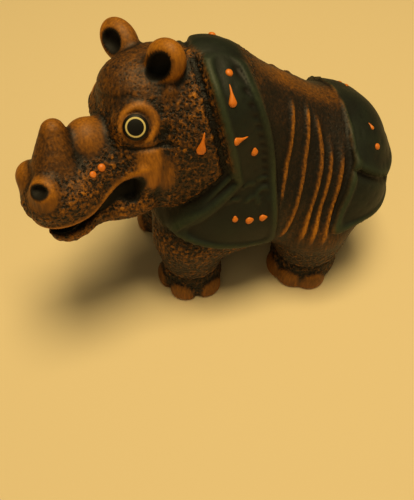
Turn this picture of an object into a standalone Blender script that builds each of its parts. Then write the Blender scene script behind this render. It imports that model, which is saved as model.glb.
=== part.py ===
"""A small fired-clay rhinoceros figurine standing on four stub feet, its head turned to one side.

The figure is one casting. Its masses are balls and tapered limbs, placed in steps of a grid that has
GRID_STEPS steps along the figure's length. They are joined and cut as meshes, and the skin is then drawn
onto the smooth blend of the same masses, with the armour plates, ribs, folds and nails raised on it.
The figure faces -X, its left side is -Y, and it stands on Z = 0.
"""

import math

import bmesh
import bpy
import numpy as np
from mathutils import Matrix, Vector

# Sizes in metres
FIGURE_LENGTH = 0.128
FRONT_HORN_HEIGHT = 0.0146
FRONT_HORN_RADIUS = 0.0075
REAR_HORN_HEIGHT = 0.0070
EAR_LENGTH = 0.0140
EAR_WIDTH = 0.0120
NOSTRIL_DIAMETER = 0.0050
PLATE_THICKNESS = 0.0012
PLATE_RIM_WIDTH = 0.0030
PLATE_RIM_HEIGHT = 0.0005
RIB_HEIGHT = 0.0009
RIB_WIDTH = 0.0030
FOLD_DEPTH = 0.0013
FOLD_WIDTH = 0.0032
LIP_HEIGHT = 0.0007
LIP_WIDTH = 0.0028
NAIL_THICKNESS = 0.0005
NAIL_HEIGHT = 0.0085
LID_HEIGHT = 0.0007
LID_WIDTH = 0.0028
CREASE_DEPTH = 0.0007
CREASE_WIDTH = 0.0020
PLATE_EDGE = 0.0032
SKIN_VOXEL = 0.00105
SOLE_SNAP = 0.00015

# The figure's own grid, and how far the skin is thinned out
GRID_STEPS = 128
STEP = FIGURE_LENGTH / GRID_STEPS
SKIN_TRIANGLES = 9400
LEAST_STEEPNESS = 0.8
SMOOTHING_ROUNDS = 3
SMOOTHED_ABOVE = 1.5

# The head's place and turn, in grid steps and degrees
HEAD_AT = np.array([-18.2, 0.6, 72.3])
HEAD_YAW = 25.0
HEAD_PITCH = -3.7
HEAD_ROLL = 15.0

# Each foot's place, radius and the bearings of its nails, in grid steps and degrees
FEET = (
    (-9.7, -14.8, 13.0, (180.0, 237.0, 296.0)),
    (-12.9, 14.5, 13.0, (180.0, 123.0, 62.0)),
    (35.0, -19.0, 14.5, (190.0, 226.0, 268.0)),
    (36.0, 17.5, 14.5, (170.0, 134.0, 92.0)),
)
NAIL_HALF_ANGLE = 24.0
# Each rib: where it stands at mid-height, how far it leans back above that for each step up, its upper end
RIBS = ((21.7, 0.22, 77.0), (28.2, 0.20, 77.0), (34.3, -0.08, 69.0), (37.7, 0.0, 61.0), (41.8, 0.0, 59.0))
# Each eye's socket and the way that it looks, in the head's forward, left and up
EYES = (
    ("left", (9.6, 8.6, 3.4), (0.36, 0.795, 0.48)),
    ("right", (8.1, -7.6, 3.4), (0.30, -0.84, 0.45)),
)
LID_SHIFT = (-1.5, 0.0, 0.6)

CLAY_COLOUR = (0.16, 0.065, 0.022, 1.0)
CLAY_ROUGHNESS = 0.55


def unit(vector):
    vector = np.asarray(vector, float)
    return vector / np.linalg.norm(vector)


def head_axes():
    """The head's forward, left and up directions."""
    yaw, pitch, roll = (math.radians(a) for a in (HEAD_YAW, HEAD_PITCH, HEAD_ROLL))
    forward = np.array([
        -math.cos(yaw) * math.cos(pitch),
        -math.sin(yaw) * math.cos(pitch),
        math.sin(pitch),
    ])
    level_left = np.array([math.sin(yaw), -math.cos(yaw), 0.0])
    level_up = np.cross(forward, level_left)
    level_up = level_up * np.sign(level_up[2])
    left = level_left * math.cos(roll) + level_up * math.sin(roll)
    up = level_up * math.cos(roll) - level_left * math.sin(roll)
    return np.stack([forward, left, up])


HEAD_AXES = head_axes()


def head(forward, left, up):
    """A point given in the head's own directions."""
    return HEAD_AT + np.array([forward, left, up]) @ HEAD_AXES


def head_way(forward, left, up):
    return unit(np.array([forward, left, up]) @ HEAD_AXES)


def frame_of(long_way, flat_way):
    """Three square directions: the first along long_way, the third as near flat_way as it can be."""
    first = unit(long_way)
    third = unit(flat_way - first * np.dot(first, flat_way))
    return np.stack([first, np.cross(third, first), third])


class Ball:
    """An ellipsoid with its own directions as the rows of axes."""

    def __init__(self, centre, radii, axes=None, blend=4.0):
        self.centre = np.asarray(centre, float)
        self.radii = np.asarray(radii, float)
        self.axes = np.eye(3) if axes is None else axes
        self.blend = blend

    def distance(self, points):
        local = (points - self.centre) @ self.axes.T
        near = np.linalg.norm(local / self.radii, axis=1)
        slope = np.linalg.norm(local / self.radii**2, axis=1)
        return near * (near - 1.0) / np.maximum(slope, 1e-9)

    def add_mesh(self, mesh):
        turn = Matrix([list(row) for row in self.axes.T]).to_4x4()
        place = Matrix.Translation(Vector(self.centre)) @ turn @ Matrix.Diagonal((*self.radii, 1.0))
        bmesh.ops.create_uvsphere(mesh, u_segments=32, v_segments=20, radius=1.0, matrix=place)


class Limb:
    """A tapered limb with round ends."""

    def __init__(self, start, end, start_radius, end_radius, blend=4.0):
        self.start = np.asarray(start, float)
        self.end = np.asarray(end, float)
        self.radii = (start_radius, end_radius)
        self.blend = blend

    def distance(self, points):
        along = self.end - self.start
        length = np.linalg.norm(along)
        way = along / length
        offset = points - self.start
        height = offset @ way
        aside = np.linalg.norm(offset - height[:, None] * way, axis=1)
        slope = (self.radii[0] - self.radii[1]) / length
        rise = math.sqrt(max(1.0 - slope * slope, 1e-9))
        lean = height * rise - aside * slope
        low = np.hypot(aside, height) - self.radii[0]
        high = np.hypot(aside, height - length) - self.radii[1]
        middle = aside * rise + height * slope - self.radii[0]
        return np.where(lean < 0, low, np.where(lean > length * rise, high, middle))

    def add_mesh(self, mesh):
        along = Vector(self.end - self.start)
        turn = along.to_track_quat("Z", "Y").to_matrix().to_4x4()
        middle = Matrix.Translation(Vector((self.start + self.end) / 2)) @ turn
        bmesh.ops.create_cone(
            mesh, cap_ends=True, segments=28, radius1=self.radii[0], radius2=self.radii[1],
            depth=along.length, matrix=middle,
        )
        for centre, radius in zip((self.start, self.end), self.radii):
            bmesh.ops.create_uvsphere(
                mesh, u_segments=28, v_segments=16, radius=radius,
                matrix=Matrix.Translation(Vector(centre)),
            )


def head_places(points):
    """Each point's places forward, left and up in the head."""
    return ((points - HEAD_AT) @ HEAD_AXES.T).T


def away_from_axis(points, place, way):
    """How far each point is aside from a line through the head, and how far along it."""
    offset = head_places(points).T - np.asarray(place, float)
    way = unit(way)
    along = offset @ way
    return np.linalg.norm(offset - along[:, None] * way, axis=1), along


def ramp(value, width):
    """0 below zero, 1 above, with a smooth step of the given width."""
    share = np.clip(value / width + 0.5, 0.0, 1.0)
    return share * share * (3 - 2 * share)


def ridge(offset, width):
    """A round-topped ridge of height 1 along offset = 0."""
    return np.exp(-((2.0 * offset / width) ** 2))


def soft_least(first, second, width):
    """The lesser of two fields, rounded over where they are within width of each other."""
    overlap = np.maximum(width - np.abs(first - second), 0.0) / width
    return np.minimum(first, second) - overlap * overlap * width / 4


def body_masses():
    return [
        Ball((20, 0, 38.5), (38, 28.2, 26.5), blend=8),
        Ball((-1.5, 0, 61.3), (19.5, 23, 32.3), blend=10),
        Limb((3, 0, 71.5), (39, 0, 47.5), 17.6, 18.2, blend=8),
        Ball((-1, 0, 35), (21, 28.5, 23), blend=8),
        Ball((43.6, 0, 39.5), (20.2, 27.5, 23.3), blend=8),
        Ball((51.5, 0, 46.5), (13, 18, 14.2), blend=6),
        Ball((46.5, -12.5, 35.5), (14.2, 15.7, 15), blend=6),
        Ball((46.5, 12.5, 35.5), (14.2, 15.7, 15), blend=6),
        Ball((-13, 0, 64), (15, 19, 22), blend=8),
        Limb((60.0, 0, 46), (61.5, 0, 26), 3.4, 2.6, blend=2),
    ]


def leg_masses():
    legs = []
    for x, y, radius, bearings in FEET:
        legs.append(Limb((x, y, 28), (x, y, 14), radius + 1.0, radius - 1.5, blend=4))
        legs.append(Ball((x, y, 4.5), (radius - 1.4, radius - 1.4, 9.0), blend=3))
        for bearing in np.radians(bearings):
            outward = np.array([math.cos(bearing), math.sin(bearing), 0.0])
            toe = np.array([x, y, 3.0]) + outward * (radius - 4.9)
            legs.append(Ball(toe, (5.2, 5.9, 7.0), frame_of(outward, (0, 0, 1)), blend=1.0))
    return legs


def ruff():
    """The thick roll of hide behind the cheeks."""
    return Ball(head(-6, 0, -5), (12.5, 19.5, 24), HEAD_AXES, blend=3)


def head_masses():
    masses = [
        Ball(head(-1, 0, 4), (14.5, 14, 15.5), HEAD_AXES, blend=6),
        Ball(head(4.7, 0, 9.8), (8.3, 11, 9.0), HEAD_AXES, blend=5),
        ruff(),
        Ball(head(6, 0, -15), (13, 16.5, 14), HEAD_AXES, blend=5),
        Limb(head(8, 0, -5), head(33, 0, -7.5), 12.5, 9.5, blend=6),
        Ball(head(36.0, 0, -7.8), (12.7, 12.8, 9.1), HEAD_AXES, blend=4),
        Ball(head(12, 0, -20), (19.5, 14, 7.5), HEAD_AXES, blend=4),
        Limb(head(26, 0, -18.6), head(38, 0, -19.3), 4.8, 4, blend=4),
        Ball(head(37.5, 0, -20.2), (7.8, 7.2, 4.2), HEAD_AXES, blend=4),
    ]
    for _, socket, _ in EYES:
        masses.append(Ball(head(*socket), (7.8, 6.9, 7.6), HEAD_AXES, blend=2.5))
    for side in (1.0, -1.0):
        masses += [
            Ball(head(9, side * 10.5, -8), (9, 7.5, 10), HEAD_AXES, blend=4),
            Ball(head(40.9, side * 5.4, -2.2), (5.1, 5.3, 5.3), HEAD_AXES, blend=2.0),
            Limb(head(-1.6, side * 14.8, 11.6), head(1.6, side * 13.2, 8.4), 1.5, 1.1, blend=2.0),
        ]
    return masses


def horns():
    height = FRONT_HORN_HEIGHT / STEP
    foot = head(34.4, 0.2, 0.0)
    top = foot + head_way(-0.34, 0, 1.0) * (height - 3.4)
    rear = REAR_HORN_HEIGHT / STEP
    return [
        Limb(foot, top, FRONT_HORN_RADIUS / STEP, 3.7, blend=2.0),
        Ball(head(22.5, 0, 9.5 - rear), (7, 7, rear), HEAD_AXES, blend=3),
    ]


def ears():
    length = EAR_LENGTH / STEP
    width = EAR_WIDTH / STEP
    found = []
    for side, lean, turn, lift in ((1.0, -0.12, 0.15, -0.1), (-1.0, 0.0, 0.60, 0.0)):
        way = head_way(lean, side * 0.80, 0.60)
        axes = frame_of(way, head_way(1.0, turn, lift))
        centre = head(-3.2, side * 7.4, 15.4) + way * length * 0.45
        found.append(Ball(centre, (length * 0.55, width / 2, 4.6), axes, blend=2))
    return found


def ear_cups():
    """The hollows of the ears, which open towards the head and leave a thick rim at the tip."""
    length = EAR_LENGTH / STEP
    width = EAR_WIDTH / STEP
    found = []
    shapes = ((0.40, 0.25, 3.1, 2.9), (0.24, 0.25, 2.2, 3.4))
    for ear, (long, wide, depth, ahead) in zip(ears(), shapes):
        centre = ear.centre + ear.axes[2] * ahead
        found.append(Ball(centre, (length * long, width * wide, depth), ear.axes, blend=1.2))
    return found


def nostrils():
    radius = NOSTRIL_DIAMETER / STEP / 2
    return [
        Ball(head(*place), (radius * 1.25, radius * 1.1, radius * 0.6), HEAD_AXES, blend=1.0)
        for place in ((44.6, 7.7, 0.6), (42.6, -9.4, -1.4))
    ]


def mouth_roof(forward):
    """The height of the upper lip's lower edge."""
    return -8.0 - 0.42 * np.clip(forward - 16.0, 0.0, 17.0)


def mouth_gap(points):
    """How far outside the open mouth each point is: a wedge, tallest at its rear corner."""
    forward, _, up = head_places(points)
    roof = mouth_roof(forward) - up
    floor = up + 18.7 - ramp(forward - 21.5, 5.0) * (15.3 + mouth_roof(forward))
    corner = (forward - 15.2 + 0.37 * (up + 8.7)) / 1.07
    return -soft_least(soft_least(roof, floor, 2.0), corner, 5.0)


def lip_scoop():
    """The hollow of the lower lip."""
    return Ball(head(39.5, 0, -18.0), (4.8, 4.6, 2.8), HEAD_AXES, blend=1.2)


def tongue():
    return Ball(head(19, 0, -14.5), (16, 8.5, 7.5), HEAD_AXES, blend=1.5)


def inside_shoulder_plate(points):
    """How far inside the outline of the nearer shoulder plate each point is, seen from the side."""
    x, y, z = points[:, 0], np.abs(points[:, 1]), points[:, 2]
    rear = 17.4 - x - 0.0065 * np.maximum(z - 58.0, 0.0) ** 2
    upper_front = x - 2.2 + 0.18 * (z - 65.4)
    wing = (57.5 - z + 0.85 * x) / 1.31
    front = np.maximum(upper_front, wing) / 1.1
    low = (z - 34.2 + 0.26 * x) / 1.03
    inside = soft_least(front, rear, 4.0)
    inside = soft_least(inside, low, 5.0)
    return soft_least(inside, y - 1.0, 6.0)


def inside_rump_plate(points):
    """How far behind the front edge and above the lower edge of the rump plate each point is."""
    x, z = points[:, 0], points[:, 2]
    front = x - 44.8 + 0.42 * np.maximum(57.0 - z, 0.0) - 0.25 * np.maximum(z - 62.0, 0.0)
    return soft_least(front, z - 34.5, 4.0)


def yoke(points):
    """The smooth saddle over the hump between the two shoulder plates."""
    x, y, z = points.T
    rear = 17.4 - x - 0.0065 * np.maximum(z - 58.0, 0.0) ** 2
    front = x + 1.0 + 0.46 * np.clip(y + 6.8, -8.0, 16.0)
    return ramp(soft_least(soft_least(rear, front, 4.0), z - 86.0, 4.0), 3.0)


def rims(points):
    """Where the raised rims of the plates are, from 0 to 1."""
    edge = PLATE_EDGE / STEP
    width = PLATE_RIM_WIDTH / STEP
    z = points[:, 2]
    shoulder = inside_shoulder_plate(points)
    shoulder_rim = ramp(shoulder, edge) - ramp(shoulder - width, edge)
    shoulder_rim *= ramp(np.abs(points[:, 1]) - 5.0, 4.0)
    shoulder_rim *= 1.0 - ramp(z - 83.0, 6.0) * ramp(points[:, 1] - 4.0, 4.0)
    rump = inside_rump_plate(points)
    wide = 0.35 + 0.65 * ramp(58.0 - z, 4.0)
    rump_rim = ramp(rump, edge) - ramp(rump - width * wide, edge)
    return np.maximum(shoulder_rim, rump_rim * ramp(np.abs(points[:, 1]) - 2.0, 4.0))


def plate_cover(points):
    edge = PLATE_EDGE / STEP
    cover = yoke(points)
    for inside in (inside_shoulder_plate(points), inside_rump_plate(points)):
        cover = np.maximum(cover, ramp(inside, edge))
    return cover


def rump_lip(points):
    """The rolled lower lip of the rump's upper plate, above the crease."""
    x, z = points[:, 0], points[:, 2]
    line = rump_crease_line(x)
    return 0.8 * ridge(z - line - 3.0, 4.2) * ramp(x - 46.0, 4.0)


def ruff_line(z):
    """Where the ruff ends in front of the shoulder plate."""
    return 0.4 - 0.18 * np.maximum(z - 63.0, 0.0) - 0.95 * np.maximum(63.0 - z, 0.0)


def rump_crease_line(x):
    return 56.9 - 0.68 * (np.minimum(x, 59.0) - 41.0)


def collar(points):
    """Where the folds of the collar lie, below the jaw and in front of the shoulder plate."""
    x, y, z = points.T
    behind = x - ruff_line(z)
    cover = ramp(behind - 0.4, 1.6) * ramp(66.0 - z, 5.0) * ramp(z - 38.0, 4.0) * ramp(6.0 - x, 4.0)
    return cover * ramp(np.abs(y) - 9.0, 6.0), behind


def plates(points):
    raised = plate_cover(points) * PLATE_THICKNESS / STEP
    raised *= 0.18 + 0.82 * ramp(np.abs(points[:, 1]) - 12.0, 10.0)
    raised *= 1.0 - ramp(points[:, 2] - 85.0, 6.0) * ramp(points[:, 1] - 4.0, 4.0)
    raised += rims(points) * PLATE_RIM_HEIGHT / STEP
    cover, behind = collar(points)
    raised += cover * ridge(behind - 2.6, 2.4) * PLATE_THICKNESS / STEP * 0.8
    return raised + rump_lip(points) * PLATE_THICKNESS / STEP


def rib_bands(points):
    x, y, z = points[:, 0], np.abs(points[:, 1]), points[:, 2]
    reach = ramp(z - 32.0, 8.0) * ramp(y - 9.0, 6.0)
    raised = np.zeros(len(points))
    for middle, lean, top in RIBS:
        line = middle + 0.30 * soft_least(z - 60.0, np.zeros(len(z)), 6.0) + lean * np.maximum(z - 60.0, 0.0)
        raised += ridge(x - line, RIB_WIDTH / STEP) * ramp(top - z, 6.0)
    before = ramp(-inside_shoulder_plate(points) - 1.0, 2.0)
    behind = ramp(-inside_rump_plate(points) - 1.0, 2.0)
    return raised * reach * before * behind


def fold_lines(points):
    """The folds behind the cheeks, round the ruff, across the rump and above the feet."""
    width = FOLD_WIDTH / STEP
    x, y, z = points.T
    forward, left, up = head_places(points)
    cheek_line = np.minimum(5.5 - 0.42 * up, 12.5)
    cheek = ridge(forward - cheek_line, width * 1.9) * ramp(np.abs(left) - 9.5, 4.0) * ramp(3.0 - up, 5.0)
    cheek *= ramp(up + 25.0, 6.0)
    ruff = ridge(x - ruff_line(z), width) * ramp(np.abs(y) - 3.0, 4.0) * ramp(z - 36.0, 4.0)
    rump = 0.9 * ridge(z - rump_crease_line(x), width) * ramp(x - 45.0, 3.0)
    feet = ridge(z - 11.5, width)
    return 0.6 * cheek + ruff + rump + 0.6 * feet


def creases(points):
    """The fine creases under the eyes and over the brow, and round the eyes' seats."""
    width = CREASE_WIDTH / STEP
    forward, left, up = head_places(points)
    side = np.abs(left)
    under = ridge(up - 0.6 + 0.26 * (15.8 - forward), width) * ramp(side - 11.0, 2.0)
    under *= ramp(forward - 4.0, 2.0) * ramp(17.5 - forward, 2.0)
    brow = ridge(up - 13.2 + 0.10 * (forward - 12.0), width) * ramp(11.0 - side, 2.0)
    brow *= ramp(forward - 8.0, 2.0) * ramp(18.0 - forward, 2.0)
    found = under + 0.4 * brow
    for _, socket, way in EYES:
        aside, along = away_from_axis(points, socket, way)
        seat = ridge(aside - 4.1, width * 0.6) * ramp(along - 2.0, 2.0)
        found = np.maximum(found, 0.6 * seat)
    return found


def eyelids(points):
    """The rings round the eyes, set back and up from the eyes' own middles."""
    found = np.zeros(len(points))
    for _, socket, way in EYES:
        aside, along = away_from_axis(points, np.asarray(socket) + LID_SHIFT, way)
        from_eye, _ = away_from_axis(points, socket, way)
        ring = ridge(aside - 4.8, LID_WIDTH / STEP) * ramp(along - 1.0, 3.0)
        found = np.maximum(found, ring * ramp(from_eye - 4.3, 0.8))
    return found


def nail_cover(points):
    cover = np.zeros(len(points))
    x, y, z = points.T
    for foot_x, foot_y, radius, bearings in FEET:
        bearing = np.degrees(np.arctan2(y - foot_y, x - foot_x))
        near = np.hypot(x - foot_x, y - foot_y) < radius + 4.0
        for middle in bearings:
            aside = np.abs((bearing - middle + 180.0) % 360.0 - 180.0)
            across = aside / NAIL_HALF_ANGLE
            height = z / (NAIL_HEIGHT / STEP)
            inside = 1.0 - np.sqrt(across**2 + np.maximum(height, 0.0) ** 4)
            cover = np.maximum(cover, near * ramp(inside - 0.05, 0.3))
    return cover


def lip_band(points):
    """The raised band along the upper edge of the mouth."""
    forward, _, up = head_places(points)
    return ridge(up - mouth_roof(forward) - 2.1, LIP_WIDTH / STEP) * ramp(forward - 14.0, 3.0)


def relief(points):
    raised = plates(points)
    raised += rib_bands(points) * RIB_HEIGHT / STEP
    raised -= fold_lines(points) * FOLD_DEPTH / STEP
    raised -= creases(points) * CREASE_DEPTH / STEP
    raised += eyelids(points) * LID_HEIGHT / STEP
    raised += nail_cover(points) * NAIL_THICKNESS / STEP
    raised += lip_band(points) * LIP_HEIGHT / STEP
    return raised


def mouth_cutters():
    """Balls and a limb that together open the mouth's wedge in the rough skin."""
    slanted = frame_of(head_way(1.0, 0, -0.42), head_way(0.42, 0, 1.0))
    return [
        Limb(head(19.8, -26, -13.8), head(19.8, 26, -13.8), 3.9, 3.9),
        Ball(head(27.0, 0, -14.3), (10, 24, 2.0), slanted),
        Ball(head(37, 0, -16.8), (16, 20, 1.5), HEAD_AXES),
        lip_scoop(),
    ]


def all_masses():
    return body_masses() + leg_masses() + head_masses() + horns() + ears()


def form(points):
    """How far each point is outside the figure's blended form, in grid steps."""
    masses = all_masses()
    field = masses[0].distance(points)
    for mass in masses[1:]:
        field = soft_least(field, mass.distance(points), mass.blend)
    for cut in (*ear_cups(), *nostrils(), lip_scoop()):
        field = -soft_least(-field, cut.distance(points), cut.blend)
    field = -soft_least(-field, mouth_gap(points), 1.2)
    field = soft_least(field, tongue().distance(points), tongue().blend)
    return np.maximum(field - relief(points), -points[:, 2])


def slope(field, points, reach=0.05):
    """How far the field's surface is from each point, and its outward direction there."""
    here = field(points)
    steps = [field(points + reach * way) - here for way in np.eye(3)]
    way = np.stack(steps, axis=1) / reach
    steepness = np.maximum(np.linalg.norm(way, axis=1, keepdims=True), LEAST_STEEPNESS)
    return here / steepness[:, 0], way / steepness


def lump(name, masses):
    mesh = bmesh.new()
    for mass in masses:
        mass.add_mesh(mesh)
    data = bpy.data.meshes.new(name)
    mesh.to_mesh(data)
    mesh.free()
    return bpy.data.objects.new(name, data)


def evaluated_mesh(obj):
    bpy.context.view_layer.update()
    return bpy.data.meshes.new_from_object(obj.evaluated_get(bpy.context.evaluated_depsgraph_get()))


def add_remesh(obj, voxel):
    remesh = obj.modifiers.new("one skin", "REMESH")
    remesh.mode = "VOXEL"
    remesh.voxel_size = voxel


def add_boolean(obj, other, operation):
    boolean = obj.modifiers.new(operation.lower(), "BOOLEAN")
    boolean.operation = operation
    boolean.solver = "EXACT"
    boolean.object = other


def rough_skin(collection, voxel):
    """The masses joined into one skin, cut by the mouth, nostrils and ear cups."""
    rough = lump("rough", all_masses())
    cutter = lump("cutter", ear_cups() + nostrils() + mouth_cutters())
    inside = lump("inside", [tongue()])
    for obj in (rough, cutter, inside):
        collection.objects.link(obj)
    for obj in (cutter, inside):
        add_remesh(obj, voxel)
    add_remesh(rough, voxel)
    add_boolean(rough, cutter, "DIFFERENCE")
    add_boolean(rough, inside, "UNION")
    add_remesh(rough, voxel)
    skin = evaluated_mesh(rough)
    for obj in (rough, cutter, inside):
        data = obj.data
        bpy.data.objects.remove(obj)
        bpy.data.meshes.remove(data)
    return skin


def neighbour_middles(points, edges):
    total = np.zeros_like(points)
    count = np.zeros(len(points))
    for a, b in (edges.T, edges.T[::-1]):
        np.add.at(total, a, points[b])
        np.add.at(count, a, 1)
    return total / count[:, None]


def relaxed(points, ways, edges, share):
    """Each point moved along the surface towards the middle of its neighbours."""
    shift = neighbour_middles(points, edges) - points
    shift -= ways * np.sum(shift * ways, axis=1, keepdims=True)
    return points + shift * share


def draw_onto(mesh, field, rounds=9):
    points = np.empty(len(mesh.vertices) * 3)
    mesh.vertices.foreach_get("co", points)
    points = points.reshape(-1, 3)
    edges = np.empty(len(mesh.edges) * 2, dtype=np.int64)
    mesh.edges.foreach_get("vertices", edges)
    edges = edges.reshape(-1, 2)
    for turn in range(rounds):
        here, way = slope(field, points)
        points = points - way * np.clip(here, -1.5, 1.5)[:, None]
        if turn < rounds - 2:
            points = relaxed(points, way, edges, 0.5)
    above = np.clip(points[:, 2] - SMOOTHED_ABOVE, 0.0, 1.0)[:, None]
    for _ in range(SMOOTHING_ROUNDS):
        points += (neighbour_middles(points, edges) - points) * 0.5 * above
    points[:, 2] = np.maximum(points[:, 2], 0.0)
    mesh.vertices.foreach_set("co", points.ravel())
    mesh.update()


def thinned(collection, mesh, triangles):
    """The skin with fewer facets, its soles kept flat on the ground."""
    thick = bpy.data.objects.new("thick", mesh)
    collection.objects.link(thick)
    thin = thick.modifiers.new("fewer facets", "DECIMATE")
    thin.ratio = triangles / (2 * len(mesh.polygons))
    result = evaluated_mesh(thick)
    bpy.data.objects.remove(thick)
    bpy.data.meshes.remove(mesh)
    for vertex in result.vertices:
        if vertex.co.z < SOLE_SNAP / STEP:
            vertex.co.z = 0.0
    return result


def clay():
    material = bpy.data.materials.new("fired clay")
    material.use_nodes = True
    shader = material.node_tree.nodes["Principled BSDF"]
    shader.inputs["Base Color"].default_value = CLAY_COLOUR
    shader.inputs["Roughness"].default_value = CLAY_ROUGHNESS
    shader.inputs["Metallic"].default_value = 0.0
    return material


def to_real_size(mesh):
    """Grid steps become metres, and the middle of the figure's box stands on the origin."""
    mesh.transform(Matrix.Scale(STEP, 4))
    corners = np.array([v.co for v in mesh.vertices])
    low, high = corners.min(axis=0), corners.max(axis=0)
    middle = (low + high) / 2
    mesh.transform(Matrix.Translation((-middle[0], -middle[1], -low[2])))


def main():
    for obj in list(bpy.data.objects):
        bpy.data.objects.remove(obj)
    figure = bpy.data.collections.new("rhinoceros figurine")
    bpy.context.scene.collection.children.link(figure)
    skin = rough_skin(figure, SKIN_VOXEL / STEP)
    draw_onto(skin, form)
    skin = thinned(figure, skin, SKIN_TRIANGLES)
    to_real_size(skin)
    skin.name = "rhinoceros"
    rhinoceros = bpy.data.objects.new("rhinoceros", skin)
    figure.objects.link(rhinoceros)
    skin.materials.clear()
    skin.materials.append(clay())


main()
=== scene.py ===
"""Looks of a fired-clay rhinoceros figurine with matt green armour plates and raised orange dots of slip.

The skin is one fine mesh drawn onto the same blend of masses as the solid, with the carving of the plates,
the ribs, folds, nails and pebbled hide raised on it. The eyes and the dots of slip are separate small pieces.
"""

import math

import bmesh
import bpy
import numpy as np
from bpy.props import FloatProperty, FloatVectorProperty, PointerProperty
from mathutils import Matrix, Vector, noise
from mathutils.bvhtree import BVHTree


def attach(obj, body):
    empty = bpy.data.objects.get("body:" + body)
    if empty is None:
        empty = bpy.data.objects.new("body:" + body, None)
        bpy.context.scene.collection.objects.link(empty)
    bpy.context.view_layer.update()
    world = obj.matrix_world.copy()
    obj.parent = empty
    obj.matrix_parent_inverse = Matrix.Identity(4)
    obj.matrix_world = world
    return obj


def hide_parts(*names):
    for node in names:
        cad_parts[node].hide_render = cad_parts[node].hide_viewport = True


bl_info = {
    "name": "Clay rhinoceros figurine",
    "version": (1, 0, 0),
    "blender": (4, 5, 0),
    "location": "3D View > Sidebar > Rhinoceros",
    "description": "Sculpts and paints a small fired-clay rhinoceros",
    "category": "Add Mesh",
}

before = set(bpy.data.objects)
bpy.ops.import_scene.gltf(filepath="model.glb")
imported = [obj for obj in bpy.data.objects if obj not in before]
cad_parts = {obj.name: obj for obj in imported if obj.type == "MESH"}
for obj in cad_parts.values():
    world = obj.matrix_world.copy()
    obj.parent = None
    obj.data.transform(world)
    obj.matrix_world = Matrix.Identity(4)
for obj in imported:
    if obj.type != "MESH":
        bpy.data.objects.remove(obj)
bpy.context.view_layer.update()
NODE = "rhinoceros"
MM = 0.001

# The figure's grid has this many steps along its length. Places, radii and blends are in those steps, and
# turns are in degrees
GRID_STEPS = 128
HEAD_AT = np.array([-18.2, 0.6, 72.3])
HEAD_YAW = 25.0
HEAD_PITCH = -3.7
HEAD_ROLL = 15.0
FEET = (
    (-9.7, -14.8, 13.0, (180.0, 237.0, 296.0)),
    (-12.9, 14.5, 13.0, (180.0, 123.0, 62.0)),
    (35.0, -19.0, 14.5, (190.0, 226.0, 268.0)),
    (36.0, 17.5, 14.5, (170.0, 134.0, 92.0)),
)
NAIL_HALF_ANGLE = 24.0
# Each rib: where it stands at mid-height, how far it leans back above that for each step up, its upper end
RIBS = ((21.7, 0.22, 77.0), (28.2, 0.20, 77.0), (34.3, -0.08, 69.0), (37.7, 0.0, 61.0), (41.8, 0.0, 59.0))
# Each eye's socket and the way that it looks, in the head's forward, left and up
EYES = (
    ("left", (9.6, 8.6, 3.4), (0.36, 0.795, 0.48)),
    ("right", (8.1, -7.6, 3.4), (0.30, -0.84, 0.45)),
)
LID_SHIFT = (-1.5, 0.0, 0.6)
# The carved scrolls of the shoulder plate, seen from the side: centre, radius and half-turn in degrees
SCROLLS = (
    ((7.6, 55.2), 2.9, 95.0),
    ((12.4, 55.9), 2.9, 70.0),
    ((2.4, 51.6), 2.6, 100.0),
    ((8.9, 50.6), 2.7, 120.0),
    ((12.6, 52.8), 2.5, 300.0),
)
# Fixes how the pebbles of the hide wobble, which would otherwise differ from run to run
PEBBLE_SEED = 7

# How the skin is drawn onto the form: its rounds, the least slope that a step is divided by, and the height
# above the floor up to which the pebbles leave it flat
DRAWING_ROUNDS = 6
LEAST_STEEPNESS = 0.6
FLAT_SOLE_BAND = 0.6
# The bend between neighbouring points that counts as fully raised or hollow
FULL_BEND = 0.20

# The rays that find the skin under an eye and under a dot of slip
EYE_RAY_START = 30 * MM
DOT_RAY_START = 4 * MM
DOT_RAY_LENGTH = 12 * MM

# The camera that stands where the picture was taken from
CAMERA_PLACE = (-0.0370, -0.1391, 0.194)
CAMERA_PITCH = 54.5
CAMERA_TURN = 14.0
CAMERA_LENS = 41.33
SENSOR_WIDTH = 36.0


def linear(hex_colour):
    """An sRGB hex colour as linear red, green, blue and alpha."""
    parts = [int(hex_colour[i:i + 2], 16) / 255 for i in (1, 3, 5)]
    return (*[c / 12.92 if c <= 0.04045 else ((c + 0.055) / 1.055) ** 2.4 for c in parts], 1.0)


def length_property(name, description, default):
    return FloatProperty(
        name=name, description=description, default=default, min=0.0, subtype="DISTANCE", unit="LENGTH",
    )


def colour_property(name, description, hex_colour):
    return FloatVectorProperty(
        name=name, description=description, default=linear(hex_colour),
        size=4, min=0.0, max=1.0, subtype="COLOR",
    )


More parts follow.
